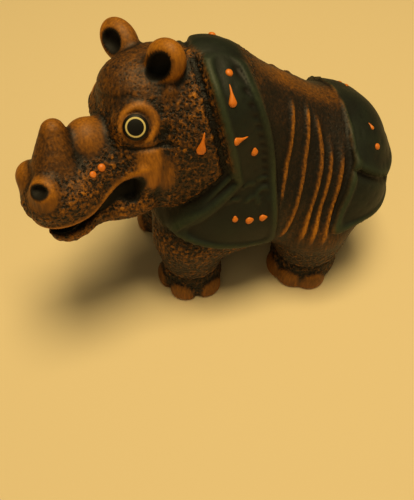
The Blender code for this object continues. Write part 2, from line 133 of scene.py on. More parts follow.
class RhinocerosSizes(bpy.types.PropertyGroup):
    """Real sizes of the figurine, in metres."""

    figure_length: length_property("Figure length", "Nose to tail", 0.128)
    front_horn_height: length_property("Front horn", "Height of the front horn", 0.0146)
    front_horn_radius: length_property("Front horn foot", "Radius at the foot of the front horn", 0.0075)
    rear_horn_height: length_property("Rear horn", "Height of the low rear horn", 0.0070)
    ear_length: length_property("Ear length", "Root to tip of an ear", 0.0140)
    ear_width: length_property("Ear width", "Across the cup of an ear", 0.0120)
    eye_diameter: length_property("Eye", "Across the painted eye", 0.0075)
    nostril_diameter: length_property("Nostril", "Across a nostril", 0.0050)
    plate_thickness: length_property("Plate", "How far the armour stands proud", 0.0013)
    plate_rim_width: length_property("Plate rim", "Width of the raised rim", 0.0024)
    plate_rim_height: length_property("Rim height", "Height of the rim on the plate", 0.0008)
    plate_edge: length_property("Plate edge", "Width of the step at the edge of a plate", 0.0013)
    rib_height: length_property("Rib", "Height of a rib", 0.0010)
    rib_width: length_property("Rib width", "Width of a rib", 0.0017)
    fold_depth: length_property("Fold", "Depth of a fold of hide", 0.0017)
    fold_width: length_property("Fold width", "Width of a fold of hide", 0.0022)
    lip_height: length_property("Lip", "How far the upper lip stands proud", 0.0009)
    lip_width: length_property("Lip width", "Width of the band of the lip", 0.0026)
    nail_thickness: length_property("Nail", "How far a nail stands proud", 0.0005)
    nail_height: length_property("Nail height", "Height of a nail", 0.0085)
    lid_height: length_property("Eyelid", "How far the ring of an eyelid stands proud", 0.0007)
    lid_width: length_property("Eyelid width", "Width of the ring of an eyelid", 0.0026)
    crease_depth: length_property("Crease", "Depth of a fine crease", 0.0008)
    crease_width: length_property("Crease width", "Width of a fine crease", 0.0014)
    carving_height: length_property("Carving", "How far the carved scrolls stand proud", 0.0006)
    carving_width: length_property("Carving width", "Width of a carved scroll", 0.0013)
    notch_pitch: length_property("Notches", "From notch to notch along a rim", 0.0027)
    pebble_size: length_property("Pebbles", "Across one pebble of the hide", 0.0021)
    pebble_height: length_property("Pebble height", "Height of a pebble of the hide", 0.00042)
    skin_voxel: length_property("Skin voxel", "Spacing of the fine skin's points", 0.00069)
    dot_radius: length_property("Slip dot", "Radius of a dot of slip", 0.00118)
    dot_height: length_property("Slip dot height", "How far a dot of slip stands proud", 0.0007)
    hump_place: FloatVectorProperty(
        name="Hump place", description="Where the grid's origin stands", size=2,
        default=(-0.00222, 0.00059), subtype="TRANSLATION",
    )


class RhinocerosColours(bpy.types.PropertyGroup):
    """The paints; the near-black and the palest green also serve as painted shade and painted highlight."""

    # Near-black: the paint in the hide's pits, and painted shade in hollows and inside the mouth, ear cups
    # and nostrils
    wash_and_shade: colour_property("Wash", "Dark wash in the pits and hollows", "#0F0A05")
    dark_brown: colour_property("Dark brown", "Clay under a thin wash", "#26180B")
    clay: colour_property("Clay", "Bare fired clay", "#50300E")
    brushed: colour_property("Brushed clay", "Dry-brushed places", "#865211")
    bright: colour_property("Bright brushing", "Places brushed twice", "#B57216")
    plate: colour_property("Plate", "Matt green of the armour", "#111711")
    rim: colour_property("Rim", "Green of the rims", "#1F291D")
    # The palest green: painted highlight on rims and edges that stand proud
    highlit_rim: colour_property("Rubbed rim", "Green where an edge is rubbed", "#3A442B")
    slip: colour_property("Slip", "Raised dots of slip", "#F28C24")
    slip_thin: colour_property("Thin slip", "Slip where it is thin", "#D06814")
    eye_black: colour_property("Eye black", "Pupil and outer ring", "#0B0A09")
    eye_cream: colour_property("Eye cream", "Pale ring of the eye", "#D8C684")
    floor: colour_property("Floor", "Plain pale floor", "#EED9B0")


def unit(vector):
    vector = np.asarray(vector, float)
    return vector / np.linalg.norm(vector)


def ramp(value, width):
    """0 below zero, 1 above, with a smooth step of the given width."""
    share = np.clip(value / width + 0.5, 0.0, 1.0)
    return share * share * (3 - 2 * share)


def ridge(offset, width):
    """A round-topped ridge of height 1 along offset = 0."""
    return np.exp(-((2.0 * offset / width) ** 2))


def soft_least(first, second, width):
    """The lesser of two fields, rounded over where they are within width of each other."""
    overlap = np.maximum(width - np.abs(first - second), 0.0) / width
    return np.minimum(first, second) - overlap * overlap * width / 4


def head_axes():
    """The head's forward, left and up directions."""
    yaw, pitch, roll = (math.radians(a) for a in (HEAD_YAW, HEAD_PITCH, HEAD_ROLL))
    forward = np.array([
        -math.cos(yaw) * math.cos(pitch),
        -math.sin(yaw) * math.cos(pitch),
        math.sin(pitch),
    ])
    level_left = np.array([math.sin(yaw), -math.cos(yaw), 0.0])
    level_up = np.cross(forward, level_left)
    level_up = level_up * np.sign(level_up[2])
    left = level_left * math.cos(roll) + level_up * math.sin(roll)
    up = level_up * math.cos(roll) - level_left * math.sin(roll)
    return np.stack([forward, left, up])


HEAD_AXES = head_axes()


def head(forward, left, up):
    """A point given in the head's own directions."""
    return HEAD_AT + np.array([forward, left, up]) @ HEAD_AXES


def head_way(forward, left, up):
    return unit(np.array([forward, left, up]) @ HEAD_AXES)


def head_places(points):
    """Each point's places forward, left and up in the head."""
    return ((points - HEAD_AT) @ HEAD_AXES.T).T


def away_from_axis(points, place, way):
    """How far each point is aside from a line through the head, and how far along it."""
    offset = head_places(points).T - np.asarray(place, float)
    way = unit(way)
    along = offset @ way
    return np.linalg.norm(offset - along[:, None] * way, axis=1), along


def frame_of(long_way, flat_way):
    """Three square directions: the first along long_way, the third as near flat_way as it can be."""
    first = unit(long_way)
    third = unit(flat_way - first * np.dot(first, flat_way))
    return np.stack([first, np.cross(third, first), third])


class Ball:
    """An ellipsoid with its own directions as the rows of axes."""

    def __init__(self, centre, radii, axes=None, blend=4.0):
        self.centre = np.asarray(centre, float)
        self.radii = np.asarray(radii, float)
        self.axes = np.eye(3) if axes is None else axes
        self.blend = blend

    def distance(self, points):
        local = (points - self.centre) @ self.axes.T
        near = np.linalg.norm(local / self.radii, axis=1)
        slope = np.linalg.norm(local / self.radii**2, axis=1)
        return near * (near - 1.0) / np.maximum(slope, 1e-9)


class Limb:
    """A tapered limb with round ends."""

    def __init__(self, start, end, start_radius, end_radius, blend=4.0):
        self.start = np.asarray(start, float)
        self.end = np.asarray(end, float)
        self.radii = (start_radius, end_radius)
        self.blend = blend

    def distance(self, points):
        along = self.end - self.start
        length = np.linalg.norm(along)
        way = along / length
        offset = points - self.start
        height = offset @ way
        aside = np.linalg.norm(offset - height[:, None] * way, axis=1)
        slope = (self.radii[0] - self.radii[1]) / length
        rise = math.sqrt(max(1.0 - slope * slope, 1e-9))
        lean = height * rise - aside * slope
        low = np.hypot(aside, height) - self.radii[0]
        high = np.hypot(aside, height - length) - self.radii[1]
        middle = aside * rise + height * slope - self.radii[0]
        return np.where(lean < 0, low, np.where(lean > length * rise, high, middle))


class Figure:
    """The figure's masses, cuts and carving, in grid steps."""

    def __init__(self, sizes):
        self.step = sizes.figure_length / GRID_STEPS
        self.sizes = sizes

    def steps(self, name):
        """A named size in grid steps."""
        return getattr(self.sizes, name) / self.step

    def body_masses(self):
        return [
            Ball((20, 0, 38.5), (38, 28.2, 26.5), blend=8),
            Ball((-1.5, 0, 61.3), (19.5, 23, 32.3), blend=10),
            Limb((3, 0, 71.5), (39, 0, 47.5), 17.6, 18.2, blend=8),
            Ball((-1, 0, 35), (21, 28.5, 23), blend=8),
            Ball((43.6, 0, 39.5), (20.2, 27.5, 23.3), blend=8),
            Ball((51.5, 0, 46.5), (13, 18, 14.2), blend=6),
            Ball((46.5, -12.5, 35.5), (14.2, 15.7, 15), blend=6),
            Ball((46.5, 12.5, 35.5), (14.2, 15.7, 15), blend=6),
            Ball((-13, 0, 64), (15, 19, 22), blend=8),
            Limb((60.0, 0, 46), (61.5, 0, 26), 3.4, 2.6, blend=2),
        ]

    def leg_masses(self):
        legs = []
        for x, y, radius, bearings in FEET:
            legs.append(Limb((x, y, 28), (x, y, 14), radius + 1.0, radius - 1.5, blend=4))
            legs.append(Ball((x, y, 4.5), (radius - 1.4, radius - 1.4, 9.0), blend=3))
            for bearing in np.radians(bearings):
                outward = np.array([math.cos(bearing), math.sin(bearing), 0.0])
                toe = np.array([x, y, 3.0]) + outward * (radius - 4.9)
                legs.append(Ball(toe, (5.2, 5.9, 7.0), frame_of(outward, (0, 0, 1)), blend=1.0))
        return legs

    @staticmethod
    def ruff():
        """The thick roll of hide behind the cheeks."""
        return Ball(head(-6, 0, -5), (12.5, 19.5, 24), HEAD_AXES, blend=3)

    def head_masses(self):
        masses = [
            Ball(head(-1, 0, 4), (14.5, 14, 15.5), HEAD_AXES, blend=6),
            Ball(head(4.7, 0, 9.8), (8.3, 11, 9.0), HEAD_AXES, blend=5),
            self.ruff(),
            Ball(head(6, 0, -15), (13, 16.5, 14), HEAD_AXES, blend=5),
            Limb(head(8, 0, -5), head(33, 0, -7.5), 12.5, 9.5, blend=6),
            Ball(head(36.0, 0, -7.8), (12.7, 12.8, 9.1), HEAD_AXES, blend=4),
            Ball(head(12, 0, -20), (19.5, 14, 7.5), HEAD_AXES, blend=4),
            Limb(head(26, 0, -18.6), head(38, 0, -19.3), 4.8, 4, blend=4),
            Ball(head(37.5, 0, -20.2), (7.8, 7.2, 4.2), HEAD_AXES, blend=4),
        ]
        for _, socket, _ in EYES:
            masses.append(Ball(head(*socket), (7.8, 6.9, 7.6), HEAD_AXES, blend=2.5))
        for side in (1.0, -1.0):
            masses += [
                Ball(head(9, side * 10.5, -8), (9, 7.5, 10), HEAD_AXES, blend=4),
                Ball(head(40.9, side * 5.4, -2.2), (5.1, 5.3, 5.3), HEAD_AXES, blend=2.0),
                Limb(head(-1.6, side * 14.8, 11.6), head(1.6, side * 13.2, 8.4), 1.5, 1.1, blend=2.0),
            ]
        return masses

    def horns(self):
        height = self.steps("front_horn_height")
        foot = head(34.4, 0.2, 0.0)
        top = foot + head_way(-0.34, 0, 1.0) * (height - 3.4)
        rear = self.steps("rear_horn_height")
        return [
            Limb(foot, top, self.steps("front_horn_radius"), 3.7, blend=2.0),
            Ball(head(22.5, 0, 9.5 - rear), (7, 7, rear), HEAD_AXES, blend=3),
        ]

    def ears(self):
        length = self.steps("ear_length")
        width = self.steps("ear_width")
        found = []
        for side, lean, turn, lift in ((1.0, -0.12, 0.15, -0.1), (-1.0, 0.0, 1.05, 0.0)):
            way = head_way(lean, side * 0.80, 0.60)
            axes = frame_of(way, head_way(1.0, turn, lift))
            centre = head(-3.2, side * 7.4, 15.4) + way * length * 0.45
            found.append(Ball(centre, (length * 0.55, width / 2, 4.6), axes, blend=2))
        return found

    def ear_cups(self):
        """The hollows of the ears, which open towards the head and leave a thick rim at the tip."""
        length = self.steps("ear_length")
        width = self.steps("ear_width")
        found = []
        shapes = ((0.40, 0.25, 3.1, 2.9), (0.24, 0.25, 2.2, 3.4))
        for ear, (long, wide, depth, ahead) in zip(self.ears(), shapes):
            centre = ear.centre + ear.axes[2] * ahead
            found.append(Ball(centre, (length * long, width * wide, depth), ear.axes, blend=1.2))
        return found

    def nostrils(self):
        radius = self.steps("nostril_diameter") / 2
        return [
            Ball(head(*place), (radius * 1.25, radius * 1.1, radius * 0.6), HEAD_AXES, blend=1.0)
            for place in ((44.6, 7.7, 0.6), (42.6, -9.4, -1.4))
        ]

    @staticmethod
    def mouth_roof(forward):
        """The height of the upper lip's lower edge."""
        return -8.0 - 0.42 * np.clip(forward - 16.0, 0.0, 17.0)

    def mouth_gap(self, points):
        """How far outside the open mouth each point is: a wedge, tallest at its rear corner."""
        forward, _, up = head_places(points)
        roof = self.mouth_roof(forward) - up
        floor = up + 18.7 - ramp(forward - 21.5, 5.0) * (15.3 + self.mouth_roof(forward))
        corner = (forward - 15.2 + 0.37 * (up + 8.7)) / 1.07
        return -soft_least(soft_least(roof, floor, 2.0), corner, 5.0)

    @staticmethod
    def lip_scoop():
        """The hollow of the lower lip."""
        return Ball(head(39.5, 0, -18.0), (4.8, 4.6, 2.8), HEAD_AXES, blend=1.2)

    @staticmethod
    def tongue():
        return Ball(head(19, 0, -14.5), (16, 8.5, 7.5), HEAD_AXES, blend=1.5)

    def plain_form(self, points):
        """How far each point is outside the blended masses, in grid steps."""
        masses = self.body_masses() + self.leg_masses() + self.head_masses() + self.horns() + self.ears()
        field = masses[0].distance(points)
        for mass in masses[1:]:
            field = soft_least(field, mass.distance(points), mass.blend)
        for cut in (*self.ear_cups(), *self.nostrils(), self.lip_scoop()):
            field = -soft_least(-field, cut.distance(points), cut.blend)
        field = -soft_least(-field, self.mouth_gap(points), 1.2)
        return soft_least(field, self.tongue().distance(points), self.tongue().blend)

    def form(self, points):
        return np.maximum(self.plain_form(points) - self.relief(points), -points[:, 2])

    @staticmethod
    def ahead_of_rear_edge(x, z):
        """How far ahead of the shoulder plates' rear edge each point is."""
        return 17.4 - x - 0.0065 * np.maximum(z - 58.0, 0.0) ** 2

    def inside_shoulder_plate(self, points):
        """How far inside the outline of its side's shoulder plate each point is, seen from the side."""
        x, y, z = points[:, 0], np.abs(points[:, 1]), points[:, 2]
        rear = self.ahead_of_rear_edge(x, z)
        upper_front = x - 2.2 + 0.18 * (z - 65.4)
        wing = (57.5 - z + 0.85 * x) / 1.31
        front = np.maximum(upper_front, wing) / 1.1
        low = (z - 34.2 + 0.26 * x) / 1.03
        inside = soft_least(front, rear, 4.0)
        inside = soft_least(inside, low, 5.0)
        return soft_least(inside, y - 1.0, 6.0)

    def inside_rump_plate(self, points):
        """How far behind the front edge and above the lower edge of the rump plate each point is."""
        x, z = points[:, 0], points[:, 2]
        front = x - 44.8 + 0.42 * np.maximum(57.0 - z, 0.0) - 0.25 * np.maximum(z - 62.0, 0.0)
        return soft_least(front, z - 34.5, 4.0)

    def yoke(self, points):
        """The smooth saddle over the hump between the two shoulder plates."""
        x, y, z = points.T
        rear = self.ahead_of_rear_edge(x, z)
        front = x + 1.0 + 0.46 * np.clip(y + 6.8, -8.0, 16.0)
        return ramp(soft_least(soft_least(rear, front, 4.0), z - 86.0, 4.0), 3.0)

    def rims(self, points):
        """Where the raised rims of the plates are, from 0 to 1."""
        edge = self.steps("plate_edge")
        width = self.steps("plate_rim_width")
        z = points[:, 2]
        shoulder = self.inside_shoulder_plate(points)
        shoulder_rim = ramp(shoulder, edge) - ramp(shoulder - width, edge)
        shoulder_rim *= ramp(np.abs(points[:, 1]) - 5.0, 4.0)
        shoulder_rim *= 1.0 - ramp(z - 83.0, 6.0) * ramp(points[:, 1] - 4.0, 4.0)
        rump = self.inside_rump_plate(points)
        wide = 0.35 + 0.65 * ramp(58.0 - z, 4.0)
        rump_rim = ramp(rump, edge) - ramp(rump - width * wide, edge)
        return np.maximum(shoulder_rim, rump_rim * ramp(np.abs(points[:, 1]) - 2.0, 4.0))

    def plate_cover(self, points):
        edge = self.steps("plate_edge")
        cover = self.yoke(points)
        for inside in (self.inside_shoulder_plate(points), self.inside_rump_plate(points)):
            cover = np.maximum(cover, ramp(inside, edge))
        return cover

    def rump_lip(self, points):
        """The rolled lower lip of the rump's upper plate, above the crease."""
        x, z = points[:, 0], points[:, 2]
        line = self.rump_crease_line(x)
        return 0.8 * ridge(z - line - 3.0, 4.2) * ramp(x - 46.0, 4.0)

    @staticmethod
    def ruff_line(z):
        """Where the ruff ends in front of the shoulder plate."""
        return 0.4 - 0.18 * np.maximum(z - 63.0, 0.0) - 0.95 * np.maximum(63.0 - z, 0.0)

    @staticmethod
    def rump_crease_line(x):
        return 56.9 - 0.68 * (np.minimum(x, 59.0) - 41.0)

    def carving(self, points):
        """The scrolls of the shoulder plate and the notches inside the plates' rims, from -1 to 1."""
        x, y, z = points[:, 0], np.abs(points[:, 1]), points[:, 2]
        width = self.steps("carving_width")
        shoulder = self.inside_shoulder_plate(points)
        field = ramp(shoulder - self.steps("plate_rim_width") - 0.6, 1.0)
        found = np.zeros(len(points))
        for (middle_x, middle_z), radius, half_turn in SCROLLS:
            bearing = np.degrees(np.arctan2(x - middle_x, z - middle_z))
            around = ramp(half_turn / 2 - np.abs(bearing), 12.0)
            away = np.hypot(x - middle_x, z - middle_z)
            found = np.maximum(found, ridge(away - radius, width) * around)
        pitch = self.steps("notch_pitch")
        inset = self.steps("plate_rim_width") + 1.6
        phase = np.abs((z + 0.5 * x) % pitch - pitch / 2)
        rear = self.ahead_of_rear_edge(x, z)
        notches = ridge(phase, 1.3) * ridge(rear - inset, 1.9) * ramp(z - 56.0, 4.0) * field
        dents = ridge(np.abs((x + 0.7 * z) % 4.3 - 2.15), 1.8)
        dents *= ridge(np.abs((z - 0.6 * x) % 4.9 - 2.45), 1.8)
        rump = self.inside_rump_plate(points) - self.steps("plate_rim_width") - 1.0
        dents *= np.maximum(field * ramp(z - 60.0, 4.0), ramp(rump, 2.0)) * ramp(y - 6.0, 4.0)
        return found * field - 0.9 * notches - 0.25 * dents

    def collar(self, points):
        """Where the folds of the collar lie, below the jaw and in front of the shoulder plate."""
        x, y, z = points.T
        behind = x - self.ruff_line(z)
        cover = ramp(behind - 0.4, 1.6) * ramp(66.0 - z, 5.0) * ramp(z - 38.0, 4.0) * ramp(6.0 - x, 4.0)
        return cover * ramp(np.abs(y) - 9.0, 6.0), behind

    def plates(self, points):
        raised = self.plate_cover(points) * self.steps("plate_thickness")
        raised *= 0.18 + 0.82 * ramp(np.abs(points[:, 1]) - 12.0, 10.0)
        raised *= 1.0 - ramp(points[:, 2] - 85.0, 6.0) * ramp(points[:, 1] - 4.0, 4.0)
        raised += self.rims(points) * self.steps("plate_rim_height")
        raised += self.carving(points) * self.steps("carving_height")
        cover, behind = self.collar(points)
        raised += cover * ridge(behind - 2.6, 2.4) * self.steps("plate_thickness") * 0.8
        return raised + self.rump_lip(points) * self.steps("plate_thickness")

    def rib_bands(self, points):
        x, y, z = points[:, 0], np.abs(points[:, 1]), points[:, 2]
        reach = ramp(z - 32.0, 8.0) * ramp(y - 9.0, 6.0)
        raised = np.zeros(len(points))
        for middle, lean, top in RIBS:
            line = middle + 0.30 * soft_least(z - 60.0, np.zeros(len(z)), 6.0)
            line += lean * np.maximum(z - 60.0, 0.0)
            raised += ridge(x - line, self.steps("rib_width")) * ramp(top - z, 6.0)
        before = ramp(-self.inside_shoulder_plate(points) - 1.0, 2.0)
        behind = ramp(-self.inside_rump_plate(points) - 1.0, 2.0)
        return raised * reach * before * behind

    def fold_lines(self, points):
        """The folds behind the cheeks, round the ruff, across the rump and above the feet."""
        width = self.steps("fold_width")
        x, y, z = points.T
        forward, left, up = head_places(points)
        cheek_line = np.minimum(5.5 - 0.42 * up, 12.5)
        cheek = ridge(forward - cheek_line, width * 1.9) * ramp(np.abs(left) - 9.5, 4.0) * ramp(3.0 - up, 5.0)
        cheek *= ramp(up + 25.0, 6.0)
        ruff = ridge(x - self.ruff_line(z), width) * ramp(np.abs(y) - 3.0, 4.0) * ramp(z - 36.0, 4.0)
        rump = 0.9 * ridge(z - self.rump_crease_line(x), width) * ramp(x - 45.0, 3.0)
        feet = ridge(z - 11.5, width)
        return 0.6 * cheek + ruff + rump + 0.6 * feet

    def creases(self, points):
        """The fine creases under the eyes and over the brow, and round the eyes' seats."""
        width = self.steps("crease_width")
        forward, left, up = head_places(points)
        side = np.abs(left)
        under = ridge(up - 0.6 + 0.26 * (15.8 - forward), width) * ramp(side - 11.0, 2.0)
        under *= ramp(forward - 4.0, 2.0) * ramp(17.5 - forward, 2.0)
        brow = ridge(up - 13.2 + 0.10 * (forward - 12.0), width) * ramp(11.0 - side, 2.0)
        brow *= ramp(forward - 8.0, 2.0) * ramp(18.0 - forward, 2.0)
        found = under + 0.4 * brow
        for _, socket, way in EYES:
            aside, along = away_from_axis(points, socket, way)
            seat = ridge(aside - 4.1, width * 0.6) * ramp(along - 2.0, 2.0)
            found = np.maximum(found, 0.6 * seat)
        return found

    def eyelids(self, points):
        """The rings round the eyes, set back and up from the eyes' own middles."""
        found = np.zeros(len(points))
        for _, socket, way in EYES:
            aside, along = away_from_axis(points, np.asarray(socket) + LID_SHIFT, way)
            from_eye, _ = away_from_axis(points, socket, way)
            ring = ridge(aside - 4.8, self.steps("lid_width")) * ramp(along - 1.0, 3.0)
            found = np.maximum(found, ring * ramp(from_eye - 4.3, 0.8))
        return found

    def nail_cover(self, points):
        cover = np.zeros(len(points))
        x, y, z = points.T
        for foot_x, foot_y, radius, bearings in FEET:
            bearing = np.degrees(np.arctan2(y - foot_y, x - foot_x))
            near = np.hypot(x - foot_x, y - foot_y) < radius + 4.0
            for middle in bearings:
                aside = np.abs((bearing - middle + 180.0) % 360.0 - 180.0)
                across = aside / NAIL_HALF_ANGLE
                height = z / self.steps("nail_height")
                inside = 1.0 - np.sqrt(across**2 + np.maximum(height, 0.0) ** 4)
                cover = np.maximum(cover, near * ramp(inside - 0.05, 0.3))
        return cover

    def lip_band(self, points):
        """The raised band along the upper edge of the mouth."""
        forward, _, up = head_places(points)
        return ridge(up - self.mouth_roof(forward) - 2.1, self.steps("lip_width")) * ramp(forward - 14.0, 3.0)

    def relief(self, points):
        raised = self.plates(points)
        raised += self.rib_bands(points) * self.steps("rib_height")
        raised -= self.fold_lines(points) * self.steps("fold_depth")
        raised -= self.creases(points) * self.steps("crease_depth")
        raised += self.eyelids(points) * self.steps("lid_height")
        raised += self.nail_cover(points) * self.steps("nail_thickness")
        raised += self.lip_band(points) * self.steps("lip_height")
        return raised

    def mouth_and_cups(self, points):
        """Inside the mouth, the ear cups, the nostrils and the lower lip's hollow, where painted shade is
        laid.
        """
        up = head_places(points)[2]
        found = ramp(0.5 - self.mouth_gap(points), 1.0) * (1.0 - 0.6 * ramp(-16.0 - up, 2.5))
        for cut in (*self.ear_cups(), *self.nostrils(), self.lip_scoop()):
            found = np.maximum(found, ramp(0.5 - cut.distance(points), 1.2))
        return found


def field_slope(field, points, reach=0.05):
    """The field's value and its outward direction at each point."""
    here = field(points)
    steps = [field(points + reach * way) - here for way in np.eye(3)]
    way = np.stack(steps, axis=1) / reach
    steepness = np.maximum(np.linalg.norm(way, axis=1, keepdims=True), LEAST_STEEPNESS)
    return here / steepness[:, 0], way / steepness


class Net:
    """A mesh's points and edges as arrays."""

    def __init__(self, mesh):
        self.mesh = mesh
        points = np.empty(len(mesh.vertices) * 3)
        mesh.vertices.foreach_get("co", points)
        self.points = points.reshape(-1, 3)
        edges = np.empty(len(mesh.edges) * 2, dtype=np.int64)
        mesh.edges.foreach_get("vertices", edges)
        self.edges = edges.reshape(-1, 2)
        self.count = np.bincount(self.edges.ravel(), minlength=len(self.points))

    def neighbour_mean(self, values):
        """The mean of each point's neighbours, for one value or one row of values a point."""
        columns = values.reshape(len(values), -1)
        total = np.zeros_like(columns)
        for a, b in (self.edges.T, self.edges.T[::-1]):
            for k in range(columns.shape[1]):
                total[:, k] += np.bincount(a, weights=columns[b, k], minlength=len(columns))
        return (total / self.count[:, None]).reshape(values.shape)

    def store(self):
        self.mesh.vertices.foreach_set("co", self.points.ravel())
        self.mesh.update()

    def normals(self):
        found = np.empty(len(self.mesh.vertices) * 3)
        self.mesh.vertices.foreach_get("normal", found)
        return found.reshape(-1, 3)

    def add_mask(self, name, values):
        mask = self.mesh.attributes.new(name, "FLOAT", "POINT")
        mask.data.foreach_set("value", np.asarray(values, np.float32))


def draw_onto(net, field, rounds):
    for turn in range(rounds):
        here, way = field_slope(field, net.points)
        net.points = net.points - way * np.clip(here, -1.0, 1.0)[:, None]
        if turn < rounds - 2:
            shift = net.neighbour_mean(net.points) - net.points
            shift -= way * np.sum(shift * way, axis=1, keepdims=True)
            net.points = net.points + shift * 0.4
    net.points[:, 2] = np.maximum(net.points[:, 2], 0.0)
    net.store()


def pebbles(points, size):
    """Irregular pebbles from 0 in the gaps to 1 on top, of about the given size."""
    noise.seed_set(PEBBLE_SEED)
    found = np.empty(len(points))
    for index, place in enumerate(points / size):
        wobbled = Vector(place) + noise.noise_vector(Vector(place) * 0.8) * 0.55
        distances, _ = noise.voronoi(wobbled, distance_metric="DISTANCE")
        found[index] = distances[1] - distances[0]
    return np.clip(found * 1.7, 0.0, 1.0)


def add_node(tree, kind, settings=None, inputs=None):
    """Adds a node. An input is a value, another node's output, or a node, whose first output is meant."""
    node = tree.nodes.new(kind)
    for name, value in (settings or {}).items():
        setattr(node, name, value)
    for name, value in (inputs or {}).items():
        if isinstance(value, bpy.types.Node):
            value = value.outputs[0]
        if isinstance(value, bpy.types.NodeSocket):
            tree.links.new(value, node.inputs[name])
        else:
            node.inputs[name].default_value = value
    return node


def weighted_sum(tree, start, terms):
    """The start plus each term's mask times its weight."""
    total = start
    for mask, weight in terms:
        inputs = {0: mask, 1: weight, 2: total}
        total = add_node(tree, "ShaderNodeMath", {"operation": "MULTIPLY_ADD"}, inputs)
    return total


def set_stops(ramp_node, stops):
    """Gives a colour ramp its stops, each a place from 0 to 1 and a colour."""
    elements = ramp_node.color_ramp.elements
    for index, (place, colour) in enumerate(stops):
        element = elements[index] if index < len(elements) else elements.new(place)
        element.position = place
        element.color = colour


def new_material(name):
    material = bpy.data.materials.new(name)
    material.use_nodes = True
    return material, material.node_tree, material.node_tree.nodes["Principled BSDF"]


def washed_terracotta(colours):
    # Fired terracotta, washed near-black and dry-brushed orange, with matt green slip on the plates. The eye
    # gets a dull, grainy surface: near-black pits, gold on whatever stands proud from dry-brushing and
    # painted highlight, green edges paler as painted highlight, and painted shade in hollows, the mouth, ear
    # cups and nostrils.
    material, tree, shader = new_material("terracotta_washed_and_dry_brushed")
    place = add_node(tree, "ShaderNodeTexCoord").outputs["Object"]
    per_mm = 1.0 / MM
    # Brush strokes 0.7 mm wide run down the sides
    brush_way = add_node(tree, "ShaderNodeVectorMath", {"operation": "MULTIPLY"}, {
        0: place, 1: (1.0, 1.0, 0.14),
    })
    strokes = add_node(tree, "ShaderNodeTexNoise", None, {
        "Vector": brush_way, "Scale": per_mm / 0.7, "Detail": 3.0,
    })
    # Grains of hide 1.3 mm across, pits 1.2 mm apart, clouds of washed paint 9 mm across
    grain = add_node(tree, "ShaderNodeTexNoise", None, {
        "Vector": place, "Scale": per_mm / 1.3, "Detail": 3.0, "Roughness": 0.6, "Distortion": 0.8,
    })
    pit_place = add_node(tree, "ShaderNodeVectorMath", {"operation": "MULTIPLY_ADD"}, {
        0: grain.outputs["Color"], 1: (0.9 * MM,) * 3, 2: place,
    })
    pit_distance = add_node(tree, "ShaderNodeTexVoronoi", None, {"Vector": pit_place, "Scale": per_mm / 1.2})
    pits = add_node(tree, "ShaderNodeMapRange", {"interpolation_type": "SMOOTHSTEP"}, {
        "Value": pit_distance, "From Min": 0.5, "From Max": 0.15,
    })
    clouds = add_node(tree, "ShaderNodeTexNoise", None, {"Vector": place, "Scale": per_mm / 9, "Detail": 3.0})
    masks = {
        name: add_node(tree, "ShaderNodeAttribute", {"attribute_name": name})
        for name in ("raised", "hollow", "brush", "rough", "pebble", "green", "rim", "painted_shade")
    }
    rough_grain = add_node(tree, "ShaderNodeMath", {"operation": "MULTIPLY"}, {0: masks["rough"], 1: grain})
    rough_pits = add_node(tree, "ShaderNodeMath", {"operation": "MULTIPLY"}, {0: masks["rough"], 1: pits})

    amount = weighted_sum(tree, -0.43, (
        (masks["brush"], 0.78), (masks["rough"], -0.74), (rough_grain, 1.5), (rough_pits, -0.50),
        # Dry-brushing and painted highlight: what stands proud is brighter
        (masks["pebble"], 0.22), (strokes, 0.62), (clouds, 0.40), (masks["raised"], 0.28),
        # Painted shade: hollows deeper in tone, and the mouth, ear cups and nostrils deeper still
        (masks["hollow"], -0.50), (masks["painted_shade"], -1.20),
    ))
    browns = add_node(tree, "ShaderNodeValToRGB", None, {0: amount})
    set_stops(browns, (
        (0.02, colours.wash_and_shade), (0.24, colours.dark_brown), (0.46, colours.clay),
        (0.74, colours.brushed), (1.0, colours.bright),
    ))
    # The green's tone: painted highlight on what stands proud and on the rims, painted shade in hollows and
    # cups, and clouds and grain of the paint
    toned_and_highlit = weighted_sum(tree, -0.12, (
        (masks["rim"], 0.10), (masks["raised"], 0.42), (masks["hollow"], -0.35),
        (grain, 0.25), (clouds, 0.50), (masks["painted_shade"], -0.8),
    ))
    greens = add_node(tree, "ShaderNodeValToRGB", None, {0: toned_and_highlit})
    set_stops(greens, (
        (0.0, colours.wash_and_shade), (0.25, colours.plate), (0.6, colours.rim), (1.0, colours.highlit_rim),
    ))
    colour = add_node(tree, "ShaderNodeMixRGB", None, {0: masks["green"], 1: browns, 2: greens})
    tree.links.new(colour.outputs[0], shader.inputs["Base Color"])

    dullness = weighted_sum(tree, 0.50, ((grain, 0.16), (masks["painted_shade"], 0.15)))
    tree.links.new(dullness.outputs[0], shader.inputs["Roughness"])
    shader.inputs["Specular IOR Level"].default_value = 0.35
    height = weighted_sum(tree, 0.0, ((rough_grain, 0.9), (rough_pits, -0.7), (grain, 0.12), (strokes, 0.10)))
    bump = add_node(tree, "ShaderNodeBump", None, {"Strength": 1.0, "Distance": 0.45 * MM, "Height": height})
    tree.links.new(bump.outputs[0], shader.inputs["Normal"])
    return material


def trailed_slip(colours):
    # Thick orange slip trailed on in dots and fired to a satin: smooth, rounded and brighter than the clay.
    material, tree, shader = new_material("slip_trailed_satin")
    place = add_node(tree, "ShaderNodeTexCoord").outputs["Object"]
    # Clouds of thinner slip 1.1 mm across
    clouds = add_node(tree, "ShaderNodeTexNoise", None, {
        "Vector": place, "Scale": 1.0 / (1.1 * MM), "Detail": 3.0,
    })
    colour = add_node(tree, "ShaderNodeMixRGB", None, {0: clouds, 1: colours.slip_thin, 2: colours.slip})
    tree.links.new(colour.outputs[0], shader.inputs["Base Color"])
    shader.inputs["Roughness"].default_value = 0.45
    return material


